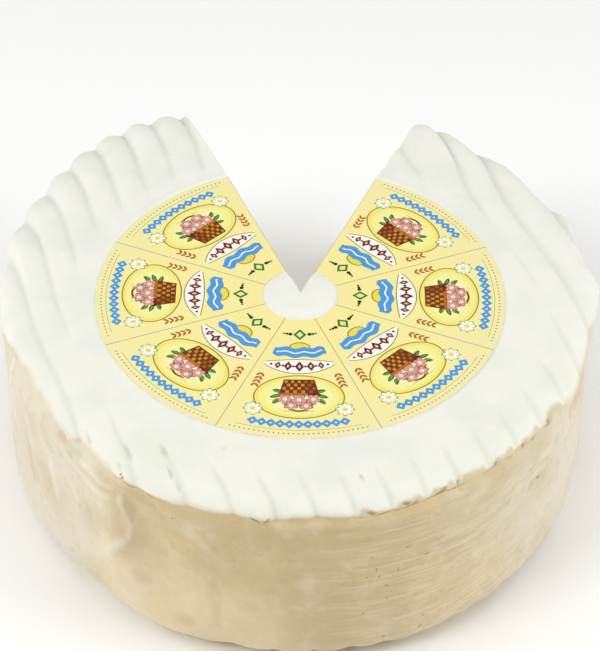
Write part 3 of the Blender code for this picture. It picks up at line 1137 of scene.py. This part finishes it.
# Marks on the side are (angle, height, half length, half height, slant in degrees), with the three
# sizes in mm. Fine brown cracks and slits of the rind: a V-shaped one in the middle, then those farther
# right, and those on the left
CRACKS = (
    (262.4, 57.9, 1.5, 0.36, -20),
    (264.6, 57.6, 1.2, 0.30, 40),
    (283.4, 58.9, 1.5, 0.50, -8),
    (290.0, 59.2, 1.4, 0.42, -14),
    (291.6, 59.0, 0.9, 0.28, 12),
    (297.4, 59.5, 2.0, 0.32, 12),
    (301.0, 59.0, 0.8, 0.40, 30),
    (309.8, 59.1, 0.7, 0.35, 40),
    (317.2, 58.7, 0.8, 0.40, 35),
    (320.2, 58.6, 0.9, 0.32, 20),
    (325.6, 58.7, 0.8, 0.38, 40),
    (322.6, 41.0, 1.2, 0.36, -25),
    (293.6, 9.6, 1.1, 0.45, 40),
    (286.4, 9.4, 0.7, 0.40, -30),
    (290.2, 44.0, 0.5, 0.30, 12),
    (288.4, 36.6, 0.25, 0.9, 15),
    (284.3, 38.3, 0.20, 0.9, 10),
    (282.6, 36.0, 0.5, 0.30, -20),
    (284.9, 35.4, 0.3, 0.50, 30),
    (286.3, 31.4, 0.8, 0.28, -35),
    (286.4, 26.4, 0.25, 0.9, 25),
    (283.4, 43.3, 0.5, 0.25, 10),
    (294.0, 39.4, 0.9, 0.28, 15),
    (282.2, 21.5, 0.35, 0.45, 0),
    (294.0, 14.5, 0.5, 0.40, 0),
    (235.8, 59.1, 0.35, 0.30, 0),
    (236.4, 58.6, 0.55, 0.42, -30),
    (247.2, 52.5, 0.45, 0.30, 0),
    (222.0, 30.0, 0.35, 0.25, 0),
)
# Grey-green marks where the rack's wires sank in, painted shade of pits that the mesh doesn't carve:
# (angle, radius, half length, half width)
PITS = (
    (226.0, 82.0, 3.2, 0.75),
    (234.4, 79.0, 3.6, 0.80),
    (235.2, 84.0, 2.0, 0.70),
    (240.5, 73.6, 2.2, 0.90),
    (244.6, 79.6, 2.6, 0.60),
    (247.6, 83.0, 2.4, 0.70),
    (249.9, 85.4, 1.6, 0.60),
    (283.0, 75.0, 1.6, 0.50),
)
# Dull tan spots: at the groove ends of the right front, and round the slit on the right
TAN_SPOTS = (
    (301.4, 59.2, 2.2, 0.9, 20),
    (310.2, 59.3, 2.2, 1.0, 25),
    (317.8, 58.9, 2.4, 1.0, 25),
    (326.2, 58.8, 2.2, 1.0, 30),
    (320.6, 40.6, 2.2, 1.4, -15),
    (240.2, 24.0, 3.0, 3.4, 0),
    (283.6, 42.0, 2.6, 1.6, -10),
    (249.0, 12.0, 4.0, 2.6, 20),
)
# Peach-coloured spots in the soft edge at the left
PEACH_SPOTS = (
    (205.6, 60.4, 2.0, 1.3, 0),
    (213.0, 60.2, 2.6, 1.0, 0),
    (236.0, 57.6, 3.0, 0.9, -10),
)


def rind():
    """Mould-ripened cheese rind: white velvety bloom on the faces, bare beige on the side.

    The bloom scatters light softly and shows a pale sheen at grazing angles. The bare side is
    smoother, with painted shade in its hollows and a painted highlight where it stands proud.
    """
    material, tree, shader = new_material(
        "White mould and beige rind",
        {
            "Roughness": 0.8,
            "IOR": 1.45,
            "Specular IOR Level": 0.3,
            "Sheen Weight": 0.3,
            "Sheen Roughness": 0.5,
            "Subsurface Weight": 0.15,
            "Subsurface Radius": (1.0, 0.92, 0.8),
            "Subsurface Scale": 0.003,
        },
    )
    place = add_node(tree, "ShaderNodeTexCoord").outputs["Object"]
    value_of = {}
    for name in ATTRIBUTES:
        value_of[name] = add_node(tree, "ShaderNodeAttribute", attribute_name=name).outputs["Fac"]

    # White bloom, greyer and greener in the grooves: partly the mould's own tint and partly painted shade in
    # the valleys
    white = tinted(tree, "F1F1E6", "EBEDE0", patches(tree, place, 15.0), 0.40, 0.68)
    white = tinted(tree, white, "F4F1E2", patches(tree, place, 7.0), 0.54, 0.74, 0.5)
    white = tinted(tree, white, "DCE0CE", value_of["groove"], 0.40, 1.00, 0.5)

    # Bare side: tan at the front and paler towards both sides, partly its own colour and partly painted
    # shade on the front, which faces away from the lamps; then soft clouds
    beige = tinted(tree, "E1D8C3", "D7C294", value_of["tan_and_painted_shade"], 0.0, 1.0)
    beige = tinted(tree, beige, "CFB98A", patches(tree, place, 24.0, 2.0), 0.45, 0.68, 0.5)
    warm = tinted(tree, "E2D7BB", "E4CE9C", value_of["tan_and_painted_shade"], 0.15, 0.7)
    beige = tinted(tree, beige, warm, patches(tree, place, 11.0, 3.0, 0.7), 0.50, 0.68, 0.55)
    beige = tinted(tree, beige, "EDE2C6", patches(tree, place, 7.5, 3.0), 0.46, 0.80, 0.5)
    beige = tinted(tree, beige, "C8B385", patches(tree, place, 3.0, 4.0), 0.52, 0.72, 0.38)
    # Level streaks that the hoop left on the right front
    for size, flatten, tint in ((14.0, 13.0, "ECE2C0"), (12.0, 12.0, "C2AE7E")):
        streaks = patches(tree, place, size, 2.0, flatten)
        beige = tinted(tree, beige, tint, streaks, 0.50, 0.68, value_of["hooped"])
    # Painted light: paler towards the foot, as if lit by light bounced off the floor
    beige = tinted(tree, beige, "F4E0B8", value_of["painted_floor_bounce"], 0.0, 1.0, 0.5)
    # Painted highlight where the side stands proud, and painted shade in its hollows
    beige = tinted(tree, beige, "F5EEDC", value_of["side_relief"], 0.10, 0.75, 0.5)
    beige = tinted(tree, beige, "C5AF84", value_of["side_relief"], -0.10, -0.75, 0.45)

    # The ragged edge between them: a cream halo, then white. It is wider where the edge is soft, and
    # where a bare lip parts them the white begins above the lip
    by_noise = {0: patches(tree, place, 2.6, 3.0), 1: 1.3, 2: -0.65}
    ragged = add_node(tree, "ShaderNodeMath", by_noise, operation="MULTIPLY_ADD").outputs[0]
    above = {0: value_of["above_mould_edge"], 1: ragged}
    height = add_node(tree, "ShaderNodeMath", above, operation="ADD").outputs[0]
    wide = {"Value": value_of["crisp_edge"], "From Min": 0.0, "From Max": 1.0, "To Min": 2.4, "To Max": 1.0}
    halo = add_node(tree, "ShaderNodeMapRange", wide).outputs[0]
    lip = value_of["bare_lip"]
    halo_colour = tinted(tree, "E6DDC6", "D8CCAD", lip, 0.1, 0.8)
    colour = tinted(tree, beige, halo_colour, height, -0.1, 0.9)
    past_lip = add_node(tree, "ShaderNodeMath", {0: height, 1: lip}, operation="SUBTRACT").outputs[0]
    fade = add_node(tree, "ShaderNodeMath", {0: halo, 1: lip}, operation="ADD").outputs[0]
    colour = tinted(tree, colour, white, past_lip, 0.2, fade)

    # A fine broken brown line under the edge where the edge is crisp
    under = add_node(tree, "ShaderNodeMath", {0: height, 1: -0.2}, operation="SUBTRACT").outputs[0]
    off_line = add_node(tree, "ShaderNodeMath", {0: under}, operation="ABSOLUTE").outputs[0]
    span = {"Value": off_line, "From Min": 0.55, "From Max": 0.15}
    line = add_node(tree, "ShaderNodeMapRange", span).outputs[0]
    for factor in (patches(tree, place, 5.0, 3.0), value_of["crisp_edge"]):
        line = add_node(tree, "ShaderNodeMath", {0: line, 1: factor}, operation="MULTIPLY").outputs[0]
    colour = tinted(tree, colour, "A98D5E", line, 0.40, 0.62, 0.8)

    # Marks, their borders made uneven by half a millimetre
    fine = {"Vector": place, "Scale": 1.0 / (1.5 * MM), "Detail": 2.0}
    uneven = add_node(tree, "ShaderNodeTexNoise", fine).outputs["Color"]
    wander = {0: uneven, 1: (MM, MM, MM), 2: (-0.5 * MM, -0.5 * MM, -0.5 * MM)}
    shift = add_node(tree, "ShaderNodeVectorMath", wander, operation="MULTIPLY_ADD").outputs[0]
    moved = add_node(tree, "ShaderNodeVectorMath", {0: place, 1: shift}, operation="ADD").outputs[0]
    yellow_spot = [(on_top(252.4, 66.4), (0.0, 0.0, 0.0), (1.0, 0.8, 2.0))]
    for tint, marks, most in (
        ("D3BD93", side_marks(TAN_SPOTS), 0.55),
        ("F0DCBC", side_marks(PEACH_SPOTS), 0.45),
        # Painted shade of the pits in the grooves
        ("C4C8B4", groove_marks(PITS), 0.7),
        ("F2E2A6", yellow_spot, 0.8),
        ("97804F", side_marks(CRACKS), 0.75),
    ):
        colour = tinted(tree, colour, tint, away_from_marks(tree, moved, marks), 1.4, 0.2, most)
    tree.links.new(colour, shader.inputs["Base Color"])

    # Velvety grain of the mould, under a millimetre across, over the soft unevenness of the skin
    skin = patches(tree, place, 3.2, 4.0)
    uneven_skin = add_node(tree, "ShaderNodeBump", {"Height": skin, "Strength": 0.35, "Distance": 0.0007})
    grain = {"Height": patches(tree, place, 0.7, 3.0), "Strength": 0.3, "Distance": 0.00015}
    bump = add_node(tree, "ShaderNodeBump", {**grain, "Normal": uneven_skin.outputs["Normal"]})
    tree.links.new(bump.outputs["Normal"], shader.inputs["Normal"])
    return material


def paste():
    """Young goat's-milk paste: pale ivory, close and moist, with a thin rind line round it."""
    material, tree, shader = new_material(
        "Soft goat's-milk paste",
        {
            "Roughness": 0.5,
            "IOR": 1.45,
            "Specular IOR Level": 0.4,
            "Subsurface Weight": 0.25,
            "Subsurface Radius": (1.0, 0.85, 0.6),
            "Subsurface Scale": 0.004,
        },
    )
    place = add_node(tree, "ShaderNodeTexCoord").outputs["Object"]
    under = add_node(tree, "ShaderNodeAttribute", attribute_name="under_rind").outputs["Fac"]
    curd = tinted(tree, "F6F2DA", "F1EBCD", patches(tree, place, 9.0), 0.40, 0.66)
    curd = tinted(tree, curd, "EDE3BF", patches(tree, place, 2.0), 0.56, 0.74, 0.3)
    curd = tinted(tree, curd, "FAF7E6", patches(tree, place, 1.2, 3.0), 0.56, 0.70, 0.5)
    curd = tinted(tree, curd, "EFE5C0", under, 5.0, 1.5, 0.6)
    wander = add_node(tree, "ShaderNodeMath", {0: patches(tree, place, 1.6), 1: 0.9}, operation="MULTIPLY")
    depth = add_node(tree, "ShaderNodeMath", {0: under, 1: wander.outputs[0]}, operation="ADD").outputs[0]
    colour = tinted(tree, curd, "DFCD9E", depth, 1.9, 1.3)
    colour = tinted(tree, colour, "F2EFDF", depth, 1.35, 1.0)
    tree.links.new(colour, shader.inputs["Base Color"])
    curd_grain = patches(tree, place, 1.1, 4.0)
    bump = add_node(tree, "ShaderNodeBump", {"Height": curd_grain, "Strength": 0.5, "Distance": 0.0003})
    tree.links.new(bump.outputs["Normal"], shader.inputs["Normal"])
    return material


def label_paper():
    """Coated label paper, offset printed: a faint satin sheen over flat inks."""
    satin = {"Roughness": 0.55, "Specular IOR Level": 0.35}
    material, tree, shader = new_material("Printed label paper", satin)
    ink = add_node(tree, "ShaderNodeVertexColor", layer_name="ink").outputs["Color"]
    place = add_node(tree, "ShaderNodeTexCoord").outputs["Object"]
    fibre = patches(tree, place, 0.5)
    tone = add_node(tree, "ShaderNodeMapRange", {"Value": fibre, "To Min": 0.985, "To Max": 1.015})
    shade = add_node(tree, "ShaderNodeVectorMath", {0: ink, "Scale": tone.outputs[0]}, operation="SCALE")
    tree.links.new(shade.outputs[0], shader.inputs["Base Color"])
    bump = add_node(tree, "ShaderNodeBump", {"Height": fibre, "Strength": 0.12, "Distance": 0.00005})
    tree.links.new(bump.outputs["Normal"], shader.inputs["Normal"])
    return material


def bare_paper():
    """The same paper where it isn't printed, on its back and its cut edge: matt and a little rough."""
    matt = {"Roughness": 0.75, "Specular IOR Level": 0.3}
    material, tree, shader = new_material("Bare label paper", matt)
    place = add_node(tree, "ShaderNodeTexCoord").outputs["Object"]
    colour = tinted(tree, "F4F0DE", "EDE8D2", patches(tree, place, 0.5), 0.35, 0.65)
    tree.links.new(colour, shader.inputs["Base Color"])
    return material


rind_material = rind()
paste_material = paste()
paper_material = label_paper()
bare_paper_material = bare_paper()
wheel = cheese_wheel()
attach(wheel, "root")
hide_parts("cheese_wheel")
label = round_label()
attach(label, "root")
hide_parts("paper_label")

# Camera: 41 degrees above the label's middle, 695 mm from it, with the picture turned a little
CAMERA_HEIGHT_ANGLE = math.radians(41)
CAMERA_DISTANCE = 0.695
AIM_BELOW_LABEL = math.radians(0.707)
CAMERA_ROLL = math.radians(0.76)
LENS_MM = 132.75
camera_data = bpy.data.cameras.new("photo_camera")
camera_data.sensor_fit = "VERTICAL"
camera_data.sensor_height = 36.0
camera_data.lens = LENS_MM
camera = bpy.data.objects.new("photo_camera", camera_data)
bpy.context.scene.collection.objects.link(camera)
back = Vector((0.0, -math.cos(CAMERA_HEIGHT_ANGLE), math.sin(CAMERA_HEIGHT_ANGLE)))
stand = label_axis + Vector((0.0, 0.0, WHEEL_HEIGHT)) + back * CAMERA_DISTANCE
tilt = Matrix.Rotation(0.5 * math.pi - CAMERA_HEIGHT_ANGLE - AIM_BELOW_LABEL, 4, "X")
camera.matrix_world = Matrix.Translation(stand) @ tilt @ Matrix.Rotation(CAMERA_ROLL, 4, "Z")
bpy.context.scene.camera = camera

# Floor and light. The floor lies a little under the cheese, so that no two faces lie in one plane
deselect()
bpy.ops.mesh.primitive_plane_add(size=6.0, location=(0.0, 0.0, -0.0002))
floor = bpy.context.object
floor.name = "studio_floor"
floor_material, floor_tree, floor_shader = new_material("Matt white studio paper", {"Roughness": 0.9})
floor_shader.inputs["Base Color"].default_value = linear_colour("FEFEFD")
floor.data.materials.append(floor_material)

world = bpy.data.worlds.new("studio")
world.use_nodes = True
world.node_tree.nodes["Background"].inputs["Color"].default_value = (1.0, 1.0, 1.0, 1.0)
world.node_tree.nodes["Background"].inputs["Strength"].default_value = 0.04
bpy.context.scene.world = world
bpy.context.scene.view_settings.view_transform = "Standard"


def soft_light(name, place, size, watts):
    """A square softbox that faces the wheel."""
    data = bpy.data.lights.new(name, "AREA")
    data.shape = "SQUARE"
    data.size = size
    data.energy = watts
    light = bpy.data.objects.new(name, data)
    bpy.context.scene.collection.objects.link(light)
    light.location = place
    light.rotation_euler = (Vector(place) - Vector((0.0, 0.0, 0.04))).to_track_quat("Z", "Y").to_euler()


soft_light("overhead_light", (0.0, 0.0, 1.5), 1.6, 13.6)
soft_light("left_light", (-1.3, -0.2, 0.6), 1.0, 9.4)
soft_light("front_left_light", (-0.9, -0.75, 1.2), 0.5, 5.7)
soft_light("right_light", (1.3, -0.2, 0.6), 1.0, 12.7)
